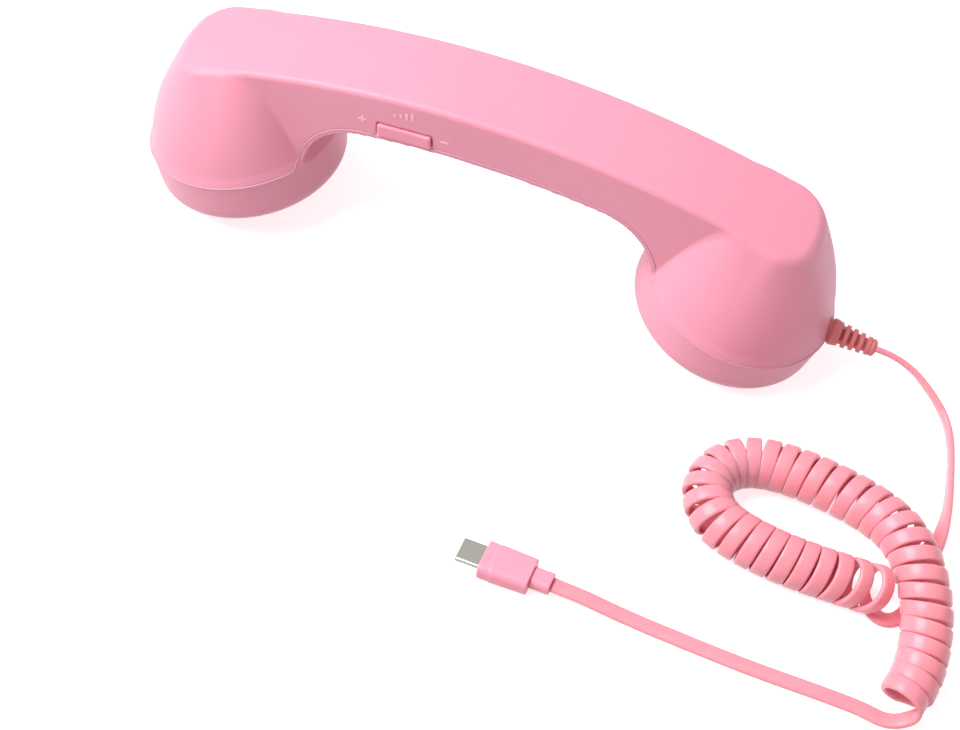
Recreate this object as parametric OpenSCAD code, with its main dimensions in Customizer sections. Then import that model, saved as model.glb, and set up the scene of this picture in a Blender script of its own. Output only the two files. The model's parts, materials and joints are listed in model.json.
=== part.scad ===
// Retro telephone handset with a curly cord and a small reversible plug.
// It rests on its two cups: +X runs to the mouthpiece and the cord, -Y is the key side, +Z is up.

/* [Handle] */
// Width of the handle strip
handle_w = 28; // [24:1:30]
// Height of the top of the arch above the table
arch_top = 64; // [62:0.5:66]
// Radius of the arched top of the handle
arch_r = 274; // [260:1:300]
// Thickness of the handle at the middle
handle_t = 16.1; // [15.5:0.1:18]
// Radius of the arched underside
under_r = 244; // [230:1:260]

/* [Cups] */
// Distance from the middle of the handset to the middle of a cup
cup_x = 75.5; // [73:0.5:78]
// Radius of a cup at its seam
cup_r = 28.5; // [27:0.5:30]
// Lean of a cup's axis, outwards at the top
cup_tilt = 14.5; // [13:0.5:16]
// Depth of a bowl below the seam
bowl_d = 14.5; // [14:0.5:16]
// Radius of the rounded edge of a bowl
bowl_edge_r = 4.8; // [4:0.1:6]
// Height of the seam's centre above the table
ring_z = 20; // [20:0.1:22]

/* [Shells] */
// Wall thickness of both shells
wall = 2; // [1.6:0.1:2.2]
// Thickness of the inner shell along the handle
lip_t = 1.3; // [1:0.1:1.6]
// Diameter of a sound hole
sound_hole_d = 2.2; // [1.5:0.1:2.6]

/* [Volume key] */
// Length of the volume rocker
rocker_l = 15.8; // [14:0.1:17]
// Height of the volume rocker
rocker_h = 4.2; // [3.8:0.1:4.4]
// How far the rocker stands out of the handle's side
rocker_proud = 0.8; // [0.4:0.1:1.2]
// Distance from the rocker's pivot to each switch
switch_arm = 5; // [4:0.1:5.5]

/* [Cord and plug] */
// Width of the flat cord
cord_w = 4.4; // [4:0.1:4.8]
// Thickness of the flat cord
cord_t = 1.6; // [1.5:0.1:2]
// Outer diameter of the curly part
coil_d = 14; // [13:0.5:14]
// Length of the strain relief outside the shell
boot_l = 13.8; // [13.2:0.1:15]
// Width, height and length of the plug's grip
plug_size = [11.2, 5.6, 14]; // [4:0.1:16]

/* [Hidden] */
$fn = 48;

// Colours
pink = [0.98, 0.66, 0.75];
rose = [0.93, 0.50, 0.58];
steel = [0.72, 0.73, 0.75];
zinc = [0.80, 0.80, 0.78];
board_green = [0.10, 0.42, 0.24];
black_plastic = [0.10, 0.10, 0.11];
copper = [0.80, 0.47, 0.27];
felt_grey = [0.32, 0.31, 0.33];
ivory = [0.92, 0.89, 0.80];

// Handle outline, with the hollow between the handle and a cup: its radius and its height
half_w = handle_w / 2;
under_top = arch_top - handle_t;
crook_r = 19.4;
crook_z = 26.1;
crook_x = (under_r - crook_r) * sin(acos((crook_z - under_top + under_r) / (under_r - crook_r)));
crook_a = atan2(crook_x, crook_z - under_top + under_r);
seam_gap = 0.05;
lip_clearance = 0.1;
eps = 0.1;
sky = arch_top + 20;

// Cup loft: a round seam, a middle ring, and under the arch a section with a round side towards
// the hand, centred at loft_top_in, and two small corners at its outer end
loft_mid = [-1, 13, 23.6];
loft_top_n = 33;
loft_top_in = -8.5;
loft_top_out = 9.6;
loft_corner_r = 5;
bar_end_x = 70;

// Bowl and what is inside it
bowl_floor = -bowl_d + wall;
bowl_draft = 3;
screw_y = 17;
screw_head_z = -5;
post_r = 3;

// Key frame: the origin lies on the underside of the handle, and x follows the arch
key_x = -16;
key_tilt = asin(-key_x / under_r);
rocker_x = -6.4;
rocker_z = 3.65;
rocker_pin_y = -10.6;
rocker_pin_r = 0.6;
pin_play = 0.05;
plunger_gap = 0.1;
switch_face_y = -9;
plunger_r = 0.8;
board_z = 6;
board_t = 1;
board_box = [[-24, -8.9], [20, 9.5]];
board_screw_x = [-21, 17];
call_x = 6;
call_r = 4;

// Boot: its origin is the outermost point of the mouthpiece seam
boot_tilt = 6;
boot_base = [cup_x + cup_r * cos(cup_tilt), 0, ring_z - cup_r * sin(cup_tilt)];
boot_seat = -1;
boot_neck = -3.2;
boot_flange = -4.6;
boot_flange_r = 4.6;
boot_neck_r = 2.6;
boot_collar_l = 3.1;
boot_ribs = 4;
boot_pitch = 2.26;
boot_r = 3.45;
boot_tip_r = 2.5;
boot_groove = 0.7;
boot_slot = [3.1, 0.9, 1.3];
boot_slot_turn = 128;

// Cord routes: points [x, y, z, roll], where roll turns the flat cord about its own line
lead_handset_route = [
    [116.8, 0, 11.4, 128], [122.5, -0.3, 10.8, 126], [128, -1.5, 9.5, 120],
    [133, -3.8, 7.6, 112], [138, -7.2, 5.4, 104], [141.5, -10.8, 3.8, 97],
    [144.2, -16, 2.8, 91], [146.3, -23, 2.3, 88], [148, -31, 2.2, 84], [149.4, -40, 2.2, 70],
    [149.8, -49, 1.7, 35], [149.4, -57, 1, 8], [149.2, -65, 0.8, 0], [148.4, -72, 0.8, 0],
    [146.6, -77.6, 0.8, 0], [143.6, -80.6, 0.8, 0], [140, -81.2, 1.1, 0],
    [136.3, -79.4, 2.2, 0]
];
coil_route = [
    [139.5, -76.8, 7], [134, -77, 7], [128, -77.1, 7], [121, -77.2, 7], [112.5, -76.8, 7],
    [106, -76, 7], [99.5, -74.6, 7], [93.5, -72.2, 7], [89.2, -68, 7], [87, -62.3, 7],
    [88.2, -56, 7], [92.2, -51.3, 7], [98, -48.7, 7], [105, -47.8, 7], [112, -48, 7],
    [119, -48.9, 7], [126, -50.4, 7.1], [132, -52.5, 7.4], [138, -56, 8.1], [143, -61, 8.9],
    [147.3, -67.2, 9.3], [150.6, -74, 9], [153.2, -81.2, 8], [154.6, -89.2, 7.2],
    [155, -96.5, 7], [154.4, -102.5, 7], [153.4, -108, 7]
];
lead_plug_route = [
    [157, -109, 2.8, 0], [154.3, -110.8, 1.4, 0], [150, -110.9, 0.8, 0],
    [143, -109.9, 0.8, 0], [132, -109.5, 0.8, 0], [121, -109.4, 0.8, 0],
    [110, -109.1, 0.8, 0], [99, -108.5, 0.8, 0], [87, -107.7, 0.8, 0], [77, -107, 1.1, 0],
    [67.5, -106.5, 2.1, 0], [58, -106.3, 2.8, 0]
];
wire_r = 0.8;
speaker_wire_route = [
    [-62.2, 6.5, 14.9, 0], [-61, 6.5, 24, 0], [-60, 6.5, 36, 0], [-55, 6.5, 46, 0],
    [-48, 6.5, 52, 0], [-43, 6.5, 54, 0], [-39.6, 6.5, 54.3, 0]
];
microphone_wire_route = [
    [72.6, -2, 15.5, 0], [69, -4, 24, 0], [65, -7, 35, 0], [59, -9, 45, 0], [50, -10.2, 51, 0],
    [32, -10.2, 53.5, 0], [16, -10.2, 55.5, 0], [7, -8, 56.8, 0], [2.6, -6.5, 57, 0]
];
cord_wire_route = [
    [84.1, 0.1, 15.5, 0], [79, 2, 19, 0], [72, 5, 30, 0], [64, 8, 42, 0], [56, 9.8, 49.5, 0],
    [46, 10.2, 52, 0], [32, 10.2, 53.5, 0], [16, 10.2, 55.5, 0], [7, 8, 56.8, 0],
    [2.6, 6.5, 57, 0]
];

// Plug: its origin is the middle of the grip's cord end, and it points along -X, turned slightly
plug_pos = [52.3, -106.15, plug_size[1] / 2];
plug_turn = 1.6;
plug_taper = 1;
plug_edge_r = 2;
plug_collar_l = 5.6;
plug_tip = [8.34, 2.56, 6.65];

// ---- Helpers ----

function arc(cx, cz, r, a0, a1, n) =
    [for (i = [0 : n]) let (a = a0 + (a1 - a0) * i / n) [cx + r * cos(a), cz + r * sin(a)]];

function seam_z(x) = ring_z - (abs(x) - cup_x) * tan(cup_tilt);

// The line under the handle from cup to cup, moved out of the hand gap by d
function under_path(d) = concat(
    [[-(crook_x + crook_r + d), seam_z(crook_x + crook_r + d)]],
    arc(-crook_x, crook_z, crook_r + d, 180, 90 + crook_a, 8),
    arc(0, under_top - under_r, under_r + d, 90 + crook_a, 90 - crook_a, 14),
    arc(crook_x, crook_z, crook_r + d, 90 - crook_a, 0, 8),
    [[crook_x + crook_r + d, seam_z(crook_x + crook_r + d)]]
);

function unit(v) = v / norm(v);

function xyz(p) = [p[0], p[1], p[2]];

// One ring of a tube: an ellipse of half axes a and b, turned by roll about the direction t
function tube_ring(p, t, roll, a, b, sides) =
    let (side = unit(cross([0, 0, 1], t)), top = cross(t, side))
    let (wide = cos(roll) * side + sin(roll) * top, thin = cos(roll) * top - sin(roll) * side)
    [for (i = [0 : sides - 1]) let (q = 360 * (i + 0.5) / sides)
        p + a * cos(q) / cos(180 / sides) * wide + b * sin(q) / cos(180 / sides) * thin];

module tube(route, a, b, sides) {
    last = len(route) - 1;
    rings = [for (i = [0 : last])
        let (t = unit(xyz(route[min(i + 1, last)]) - xyz(route[max(i - 1, 0)])))
        tube_ring(xyz(route[i]), t, len(route[i]) > 3 ? route[i][3] : 0, a, b, sides)];
    skin = [for (i = [0 : last - 1], j = [0 : sides - 1])
        let (k = (j + 1) % sides, lo = i * sides, hi = lo + sides)
        each [[lo + j, lo + k, hi + k], [lo + j, hi + k, hi + j]]];
    ends = [[for (j = [sides - 1 : -1 : 0]) j], [for (j = [0 : sides - 1]) last * sides + j]];
    polyhedron([for (r = rings) each r], concat([for (f = skin) [f[2], f[1], f[0]]],
        [for (e = ends) [for (j = [len(e) - 1 : -1 : 0]) e[j]]]));
}

module cup_frame(side) {
    mirror([side < 0 ? 1 : 0, 0, 0])
        translate([cup_x, 0, ring_z])
            rotate([0, cup_tilt, 0])
                children();
}

module both_cups() {
    for (side = [-1, 1])
        cup_frame(side)
            children();
}

module key_frame() {
    translate([key_x, 0, under_top - under_r + sqrt(pow(under_r, 2) - pow(key_x, 2))])
        rotate([0, -key_tilt, 0])
            children();
}

module boot_frame() {
    translate(boot_base)
        rotate([0, 90 + boot_tilt, 0])
            children();
}

module box(lo, hi) {
    translate(lo)
        cube(hi - lo);
}

module across(width) {
    rotate([90, 0, 0])
        linear_extrude(width, center = true)
            children();
}

module rounded(size, r) {
    square([size[0] - 2 * r, size[1]], center = true);
    square([size[0], size[1] - 2 * r], center = true);
    for (x = [-1, 1], y = [-1, 1])
        translate([x * (size[0] / 2 - r), y * (size[1] / 2 - r)])
            circle(r);
}

module screw(head_r, head_h, shank_r, shank_l) {
    translate([0, 0, -head_h])
        difference() {
            cylinder(r = head_r, h = head_h);
            translate([0, 0, -eps])
                for (a = [0, 90])
                    rotate(a)
                        box([-head_r * 0.6, -0.25, 0], [head_r * 0.6, 0.25, head_h / 2]);
        }
    cylinder(r = shank_r, h = shank_l);
}

// ---- Outer shell ----

module cup_loft(shrink, bottom) {
    hull() {
        translate([0, 0, bottom])
            cylinder(r = cup_r - shrink, h = 0.2);
        translate([loft_mid[0], 0, loft_mid[1]])
            cylinder(r = loft_mid[2] - shrink, h = 0.1);
        translate([0, 0, loft_top_n]) {
            translate([loft_top_in, 0, 0])
                cylinder(r = half_w - shrink, h = 0.1);
            for (y = [-1, 1])
                translate([loft_top_out - loft_corner_r, y * (half_w - loft_corner_r), 0])
                    cylinder(r = loft_corner_r - shrink, h = 0.1);
        }
    }
}

module under_the_arch(drop) {
    r = arch_r - drop;
    a = asin((cup_x + cup_r) / r);
    across(4 * cup_r)
        polygon(concat(arc(0, arch_top - arch_r, r, 90 + a, 90 - a, 32),
            [[cup_x + cup_r + eps, 0], [-cup_x - cup_r - eps, 0]]));
}

module handle_bar(width, above_lip, end_x) {
    across(width)
        polygon(concat(under_path(lip_t + above_lip),
            [[end_x, seam_z(end_x)], [end_x, sky], [-end_x, sky], [-end_x, seam_z(end_x)]]));
}

module hand_gap(above_lip) {
    path = under_path(lip_t + above_lip);
    across(2 * cup_r)
        polygon(concat(path, [[path[len(path) - 1][0], 0], [path[0][0], 0]]));
}

module cup_screw_places() {
    for (y = [-screw_y, screw_y])
        translate([0, y, 0])
            children();
}

module boot_hole() {
    boot_frame() {
        translate([0, 0, boot_flange - eps])
            cylinder(r = boot_flange_r + 0.2, h = boot_neck - boot_flange + 2 * eps);
        translate([0, 0, boot_flange - eps])
            cylinder(r = boot_neck_r + 0.1, h = 8);
        translate([0, 0, boot_seat])
            cylinder(r = boot_r + 0.1, h = 8);
    }
}

module outer_shell() {
    color(pink)
        difference() {
            intersection() {
                union() {
                    difference() {
                        union() {
                            handle_bar(handle_w, seam_gap, bar_end_x);
                            both_cups()
                                cup_loft(0, 0);
                        }
                        intersection() {
                            union() {
                                handle_bar(handle_w - 2 * wall, -eps - lip_t, bar_end_x - 4);
                                both_cups()
                                    cup_loft(wall + 0.2, -0.2);
                            }
                            under_the_arch(wall);
                        }
                    }
                    both_cups()
                        cup_screw_places()
                            cylinder(r = post_r, h = 18);
                    key_frame() {
                        for (x = board_screw_x)
                            translate([x, 0, board_z + board_t])
                                cylinder(r = 2.6, h = 12);
                        box([rocker_x - 2.2, -half_w + wall / 2, rocker_z + rocker_h / 2 + 0.15],
                            [rocker_x + 2.2, rocker_pin_y + 1.1, rocker_z + rocker_h / 2 + 1.65]);
                    }
                }
                under_the_arch(0);
            }
            hand_gap(seam_gap);
            both_cups()
                cup_screw_places()
                    translate([0, 0, -eps])
                        cylinder(r = 1.05, h = 10);
            key_frame() {
                for (x = board_screw_x)
                    translate([x, 0, board_z + board_t - eps])
                        cylinder(r = 0.95, h = 5);
                box([rocker_x - rocker_l / 2 - 0.35, -half_w - 1, lip_t - 1],
                    [rocker_x + rocker_l / 2 + 0.35, -half_w + wall + 0.2,
                        rocker_z + rocker_h / 2 + 0.2]);
                translate([rocker_x, rocker_pin_y, rocker_z])
                    cylinder(r = rocker_pin_r, h = 3.2);
            }
            boot_hole();
        }
}

// ---- Inner shell ----

module bowl(out, floor_z) {
    edge = bowl_edge_r;
    slope = tan(bowl_draft);
    edge_x = cup_r - slope * (bowl_d - edge) - edge / cos(bowl_draft) - out;
    rotate_extrude($fn = 96)
        polygon(concat([[0, 0], [cup_r - out, 0]],
            arc(edge_x, floor_z + edge, edge, -bowl_draft, -90, 8), [[0, floor_z]]));
}

module sound_holes(rings) {
    for (k = [0 : rings])
        for (i = [0 : max(6 * k, 1) - 1])
            rotate(60 * i / max(k, 1))
                translate([4.6 * k, 0, -bowl_d - 1])
                    cylinder(d = sound_hole_d, h = wall + 2, $fn = 24);
}

module bowl_shell(rings) {
    difference() {
        union() {
            difference() {
                bowl(0, -bowl_d);
                translate([0, 0, eps])
                    bowl(wall, bowl_floor - eps);
            }
            cup_screw_places()
                translate([0, 0, bowl_floor - eps])
                    cylinder(r = 4, h = -bowl_floor + eps);
        }
        cup_screw_places() {
            translate([0, 0, -bowl_d - 1])
                cylinder(r = 2.6, h = bowl_d + 1 + screw_head_z);
            translate([0, 0, screw_head_z - 1])
                cylinder(r = 1.25, h = 8);
        }
        sound_holes(rings);
    }
}

module inner_shell() {
    inside = under_path(lip_t);
    color(pink)
        difference() {
            union() {
                cup_frame(-1) {
                    bowl_shell(2);
                    for (x = [-17, 17])
                        translate([x, 0, bowl_floor - eps])
                            difference() {
                                cylinder(r = 2.2, h = 6.9 + eps);
                                translate([0, 0, 1])
                                    cylinder(r = 0.95, h = 7);
                            }
                }
                cup_frame(1) {
                    bowl_shell(1);
                    for (y = [-5.5, 5.5])
                        translate([17, y, bowl_floor - eps])
                            difference() {
                                cylinder(r = 2, h = -bowl_floor - 0.2 + eps);
                                translate([0, 0, 5])
                                    cylinder(r = 0.95, h = 9);
                            }
                    box([15.5, -4, bowl_floor - eps], [18.5, 4, -3.7]);
                }
                across(handle_w)
                    polygon(concat(under_path(0),
                        [for (i = [len(inside) - 1 : -1 : 0]) inside[i]]));
                intersection() {
                    both_cups()
                        difference() {
                            cup_loft(0, 0);
                            cup_loft(wall + 0.2, -0.2);
                        }
                    hand_gap(-lip_clearance);
                }
            }
            key_frame() {
                translate([call_x, 0, -2])
                    cylinder(r = call_r + 0.2, h = 5);
                translate([rocker_x, rocker_pin_y, 0.5])
                    cylinder(r = rocker_pin_r, h = 3);
            }
            boot_hole();
        }
}

module shell_screws() {
    color(zinc)
        both_cups()
            cup_screw_places()
                translate([0, 0, screw_head_z])
                    screw(2.2, 1.8, 1, -screw_head_z + 8);
}

// ---- Volume key and its switches ----

module volume_rocker() {
    color(pink)
        key_frame()
            translate([rocker_x, 0, rocker_z - rocker_h / 2])
                difference() {
                    union() {
                        box([-rocker_l / 2, -half_w - rocker_proud, 0],
                            [rocker_l / 2, -half_w + wall + 0.6, rocker_h]);
                        box([-1.5, -half_w + wall, 0], [1.5, rocker_pin_y + 1.3, rocker_h]);
                        for (x = [-switch_arm, switch_arm])
                            translate([x, -half_w + wall, rocker_h / 2])
                                rotate([-90, 0, 0])
                                    cylinder(r = 0.9, h = half_w - wall + switch_face_y - 1.2);
                    }
                    translate([0, rocker_pin_y, -1])
                        cylinder(r = rocker_pin_r + pin_play, h = rocker_h + 2);
                }
}

module rocker_pin() {
    color(steel)
        key_frame()
            translate([rocker_x, rocker_pin_y, 0.55])
                cylinder(r = rocker_pin_r, h = 6.3);
}

module side_switch(side) {
    color(black_plastic)
        key_frame()
            difference() {
                box([rocker_x + side * switch_arm - 2, switch_face_y, rocker_z - 1.7],
                    [rocker_x + side * switch_arm + 2, switch_face_y + 3.5, board_z]);
                translate([rocker_x + side * switch_arm, switch_face_y - 1, rocker_z])
                    rotate([-90, 0, 0])
                        cylinder(r = plunger_r + 0.05, h = 2.4);
            }
}

module side_plunger(side) {
    reach = 1.2 - plunger_gap;
    color(ivory)
        key_frame()
            translate([rocker_x + side * switch_arm, switch_face_y - reach, rocker_z])
                rotate([-90, 0, 0])
                    cylinder(r = plunger_r, h = reach + 0.9);
}

module plus_switch() {
    side_switch(-1);
}

module minus_switch() {
    side_switch(1);
}

module plus_plunger() {
    side_plunger(-1);
}

module minus_plunger() {
    side_plunger(1);
}

// ---- Call button ----

module call_button() {
    color(pink)
        key_frame()
            translate([call_x, 0, 0]) {
                translate([0, 0, -0.6])
                    cylinder(r = call_r, h = 2.2);
                translate([0, 0, 1.5])
                    cylinder(r = call_r + 1, h = 0.7);
                translate([0, 0, 2])
                    cylinder(r = 1.5, h = 1.4);
            }
}

module call_switch() {
    color(black_plastic)
        key_frame()
            difference() {
                box([call_x - 3, -3, 4.3], [call_x + 3, 3, board_z]);
                translate([call_x, 0, 4])
                    cylinder(r = 1.45, h = 1.1);
            }
}

module call_plunger() {
    color(ivory)
        key_frame()
            translate([call_x, 0, 3.5])
                cylinder(r = 1.4, h = 1.1);
}

// ---- Control board ----

module control_board() {
    color(board_green)
        key_frame()
            difference() {
                box([board_box[0][0], board_box[0][1], board_z],
                    [board_box[1][0], board_box[1][1], board_z + board_t]);
                for (x = board_screw_x)
                    translate([x, 0, board_z - 1])
                        cylinder(r = 1.1, h = 3);
            }
}

module board_screws() {
    color(zinc)
        key_frame()
            for (x = board_screw_x)
                translate([x, 0, board_z])
                    screw(1.9, 1.4, 0.9, 5);
}

module audio_chip() {
    color(black_plastic)
        key_frame()
            box([-13, -3.5, board_z + board_t], [-6, 3.5, board_z + board_t + 0.9]);
}

module board_parts() {
    top = board_z + board_t;
    color(copper)
        key_frame() {
            for (i = [0 : 4])
                box([-15 + 4 * i, 5.5, top], [-13 + 4 * i, 6.7, top + 0.8]);
            for (i = [0 : 3])
                box([-14 + 5 * i, -7, top], [-12 + 5 * i, -5.8, top + 0.8]);
            for (x = [0, 6])
                translate([x, 0, top])
                    cylinder(r = 2, h = 4);
        }
}

module wire_connectors() {
    top = board_z + board_t;
    color(ivory)
        key_frame() {
            box([-23, 4, top], [-19, 9, top + 3]);
            box([15, 4, top], [19, 9, top + 3]);
            box([15, -8.5, top], [19, -3.5, top + 3]);
        }
}

// ---- Weight ----

module weight_frame() {
    x = 33;
    translate([x, 0, under_top - under_r + sqrt(pow(under_r, 2) - pow(x, 2))])
        rotate([0, asin(x / under_r), 0])
            children();
}

module handle_weight() {
    color(steel)
        weight_frame()
            translate([0, 0, 2.2])
                linear_extrude(8)
                    rounded([36, 16], 2);
}

module weight_tape() {
    color(black_plastic)
        weight_frame()
            box([-17, -7, lip_t + 0.05], [17, 7, 2.2]);
}

// ---- Earpiece ----

module speaker_felt() {
    color(felt_grey)
        cup_frame(-1)
            translate([0, 0, bowl_floor])
                cylinder(r = 11.4, h = 0.4);
}

module speaker_gasket() {
    color(black_plastic)
        cup_frame(-1)
            translate([0, 0, bowl_floor])
                difference() {
                    cylinder(r = 12.8, h = 0.8);
                    translate([0, 0, -1])
                        cylinder(r = 11.5, h = 3);
                }
}

module speaker_basket() {
    color(steel)
        cup_frame(-1)
            translate([0, 0, bowl_floor + 0.8])
                rotate_extrude()
                    polygon([[11.9, 0], [12.8, 0], [12.8, 2.4], [9, 3.2], [6.6, 3.2], [6.6, 2.5],
                        [8.8, 2.5], [11.9, 1.8]]);
}

module speaker_diaphragm() {
    color(ivory)
        cup_frame(-1)
            translate([0, 0, bowl_floor + 0.9])
                rotate_extrude()
                    polygon([[0, 0.9], [3, 0.7], [5.6, 0.2], [8.5, 0.6], [11.8, 0.1], [11.8, 0.3],
                        [8.5, 0.8], [5.6, 0.4], [3, 0.9], [0, 1.1]]);
}

module speaker_voice_coil() {
    color(copper)
        cup_frame(-1)
            translate([0, 0, bowl_floor + 1.4])
                difference() {
                    cylinder(r = 5.8, h = 2.4);
                    translate([0, 0, -1])
                        cylinder(r = 5.3, h = 5);
                }
}

module speaker_magnet() {
    color(steel)
        cup_frame(-1)
            translate([0, 0, bowl_floor + 4])
                cylinder(r = 9, h = 2.9);
}

module speaker_retainer() {
    color(black_plastic)
        cup_frame(-1)
            translate([0, 0, bowl_floor + 6.9])
                difference() {
                    linear_extrude(1.2)
                        rounded([39, 9], 3);
                    for (x = [-17, 17])
                        translate([x, 0, -1])
                            cylinder(r = 1.1, h = 3);
                }
}

module retainer_screws() {
    color(zinc)
        cup_frame(-1)
            for (x = [-17, 17])
                translate([x, 0, bowl_floor + 8.1])
                    rotate([180, 0, 0])
                        screw(1.8, 1.3, 0.9, 6);
}

// ---- Microphone ----

module microphone_felt() {
    color(felt_grey)
        cup_frame(1)
            translate([0, 0, bowl_floor])
                cylinder(r = 4.8, h = 0.4);
}

module microphone_holder() {
    color(black_plastic)
        cup_frame(1)
            translate([0, 0, bowl_floor])
                difference() {
                    cylinder(r = 7.5, h = 6.5);
                    translate([0, 0, -1])
                        cylinder(r = 4.9, h = 9);
                }
}

module microphone_capsule() {
    color(steel)
        cup_frame(1)
            translate([0, 0, bowl_floor + 0.4])
                cylinder(r = 4.85, h = 6.1);
}

// ---- Wires inside the handset ----

module speaker_wires() {
    color(rose)
        tube(speaker_wire_route, wire_r, wire_r, 6);
}

module microphone_wires() {
    color(felt_grey)
        tube(microphone_wire_route, wire_r, wire_r, 6);
}

module cord_wires() {
    color(ivory)
        tube(cord_wire_route, wire_r, wire_r, 6);
}

// ---- Cord anchorage ----

module cord_tail() {
    color(rose)
        boot_frame()
            translate([0, 0, -18.4])
                cylinder(r = 1.7, h = 18.4 + boot_flange);
}

module cord_clamp() {
    color(black_plastic)
        cup_frame(1)
            translate([17, 0, -0.2])
                difference() {
                    linear_extrude(1.5)
                        rounded([5, 16], 2);
                    for (y = [-5.5, 5.5])
                        translate([0, y, -1])
                            cylinder(r = 1.1, h = 4);
                }
}

module clamp_screws() {
    color(zinc)
        cup_frame(1)
            for (y = [-5.5, 5.5])
                translate([17, y, 1.3])
                    rotate([180, 0, 0])
                        screw(1.8, 1.3, 0.9, 7);
}

module strain_relief_boot() {
    fade = (boot_r - boot_tip_r) / boot_ribs;
    color(rose)
        boot_frame()
            difference() {
                rotate_extrude()
                    polygon(concat(
                        [[0, boot_flange], [boot_flange_r, boot_flange],
                            [boot_flange_r, boot_neck], [boot_neck_r, boot_neck],
                            [boot_neck_r, boot_seat], [boot_r, boot_seat],
                            [boot_r, boot_collar_l - 0.3], [boot_r - 0.3, boot_collar_l]],
                        [for (i = [0 : boot_ribs - 1])
                            let (z = boot_collar_l + i * boot_pitch, r = boot_r - i * fade)
                            each [[r - boot_groove, z + 0.05],
                                [r - boot_groove, z + 0.4 * boot_pitch],
                                [r - 0.1, z + 0.46 * boot_pitch], [r - 0.1, z + 0.9 * boot_pitch],
                                [r - 0.3, z + boot_pitch]]],
                        [[boot_tip_r - 0.3, boot_l], [0, boot_l]]));
                for (i = [0 : boot_ribs - 1], side = [0, 180])
                    rotate(boot_slot_turn + side)
                        translate([0, boot_slot[2], boot_collar_l + i * boot_pitch + 0.05])
                            box([-boot_slot[0] / 2, 0, 0], [boot_slot[0] / 2, boot_r, boot_slot[1]]);
            }
}

// ---- Cord ----

module cord_lead_handset() {
    color(pink)
        tube(lead_handset_route, cord_w / 2 * cos(22.5), cord_t / 2 * cos(22.5), 8);
}

module cord_coil() {
    color(rose)
        tube(coil_route, coil_d / 2 * cos(15), coil_d / 2 * cos(15), 12);
}

module cord_lead_plug() {
    color(pink)
        tube(lead_plug_route, cord_w / 2 * cos(22.5), cord_t / 2 * cos(22.5), 8);
}

// ---- Plug ----

module plug_frame() {
    translate(plug_pos)
        rotate([90, 0, -90 - plug_turn])
            children();
}

module plug_grip() {
    color(pink)
        plug_frame()
            hull() {
                linear_extrude(eps)
                    rounded([plug_size[0] - plug_taper, plug_size[1]], plug_edge_r);
                translate([0, 0, plug_size[2] - eps])
                    linear_extrude(eps)
                        rounded([plug_size[0], plug_size[1]], plug_edge_r);
            }
}

module plug_collar() {
    color(pink)
        plug_frame()
            translate([0, 0, -plug_collar_l])
                linear_extrude(plug_collar_l)
                    rounded([6, 4], 1.8);
}

module plug_shell() {
    color(steel)
        plug_frame()
            translate([0, 0, plug_size[2]])
                linear_extrude(plug_tip[2])
                    difference() {
                        rounded([plug_tip[0], plug_tip[1]], 1.2);
                        rounded([plug_tip[0] - 0.6, plug_tip[1] - 0.6], 0.9);
                    }
}

module plug_tongue() {
    color(black_plastic)
        plug_frame()
            translate([0, 0, plug_size[2]])
                for (y = [-1, 1])
                    translate([0, y * 0.78, plug_tip[2] / 2 - 0.2])
                        cube([6.4, 0.36, plug_tip[2] - 0.4], center = true);
}

outer_shell();
inner_shell();
shell_screws();
volume_rocker();
rocker_pin();
plus_switch();
minus_switch();
plus_plunger();
minus_plunger();
call_button();
call_switch();
call_plunger();
control_board();
board_screws();
audio_chip();
board_parts();
wire_connectors();
handle_weight();
weight_tape();
speaker_felt();
speaker_gasket();
speaker_basket();
speaker_diaphragm();
speaker_voice_coil();
speaker_magnet();
speaker_retainer();
retainer_screws();
microphone_felt();
microphone_holder();
microphone_capsule();
speaker_wires();
microphone_wires();
cord_wires();
cord_tail();
cord_clamp();
clamp_screws();
strain_relief_boot();
cord_lead_handset();
cord_coil();
cord_lead_plug();
plug_grip();
plug_collar();
plug_shell();
plug_tongue();
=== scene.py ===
"""Looks of a retro telephone handset, its curly cord and its plug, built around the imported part.

Shapes are worked out in millimetres, in the part's own frame, and turned into metres when a mesh is made.
The moulded pieces are distance fields: a number for each point, negative inside the piece.
"""

import json
import math

import bpy
import numpy as np
import openvdb
from mathutils import Matrix, Vector


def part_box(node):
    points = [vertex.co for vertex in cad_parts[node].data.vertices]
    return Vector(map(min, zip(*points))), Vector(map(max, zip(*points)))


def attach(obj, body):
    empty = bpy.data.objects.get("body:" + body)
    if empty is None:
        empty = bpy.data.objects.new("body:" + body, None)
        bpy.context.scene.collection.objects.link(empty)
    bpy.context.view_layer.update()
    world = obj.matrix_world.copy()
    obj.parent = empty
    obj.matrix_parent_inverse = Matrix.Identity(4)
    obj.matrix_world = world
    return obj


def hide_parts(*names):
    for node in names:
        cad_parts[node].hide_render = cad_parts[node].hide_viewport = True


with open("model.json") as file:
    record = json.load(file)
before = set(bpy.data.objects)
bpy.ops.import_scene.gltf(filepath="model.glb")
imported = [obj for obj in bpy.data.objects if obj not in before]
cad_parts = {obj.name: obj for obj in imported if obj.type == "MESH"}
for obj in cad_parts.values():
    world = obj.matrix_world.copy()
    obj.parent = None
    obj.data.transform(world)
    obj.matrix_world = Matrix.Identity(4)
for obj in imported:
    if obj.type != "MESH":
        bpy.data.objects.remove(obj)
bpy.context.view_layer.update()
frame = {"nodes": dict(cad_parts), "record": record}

MM = 0.001

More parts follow.
